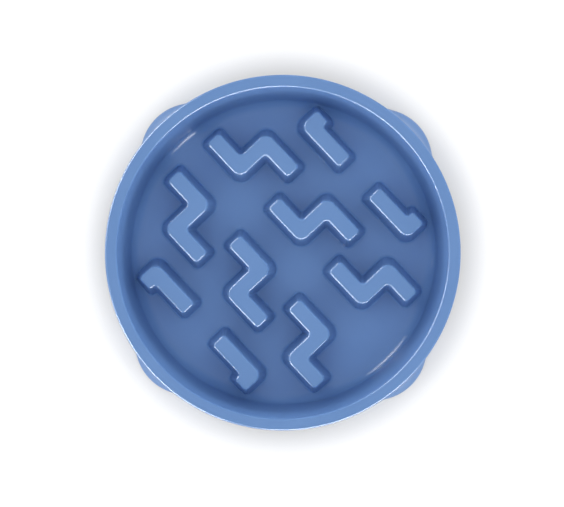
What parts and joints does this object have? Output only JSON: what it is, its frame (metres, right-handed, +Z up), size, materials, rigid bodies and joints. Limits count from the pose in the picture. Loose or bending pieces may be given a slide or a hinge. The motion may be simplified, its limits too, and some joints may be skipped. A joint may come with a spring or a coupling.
{
  "type": "slow feeder bowl",
  "caption": "Round plastic slow feeder dog bowl with zig-zag ridges on its floor and flared feet on rubber pads.",
  "frame": {"origin": "on the ground, under the middle of the bowl", "axes": "+Z up through the bowl's mouth, +X to the right and +Y to the top of the picture, with the four feet on the diagonals"},
  "size_m": [0.2716, 0.2716, 0.057],
  "materials": {
    "shell_plastic": "moulded polypropylene, mid blue, satin gloss",
    "pad_rubber": "dark grey thermoplastic rubber, matt"
  },
  "bodies": {
    "root": {"bowl_shell": "shell_plastic", "foot_pad_front_left": "pad_rubber", "foot_pad_front_right": "pad_rubber", "foot_pad_rear_left": "pad_rubber", "foot_pad_rear_right": "pad_rubber"}
  },
  "joints": []
}
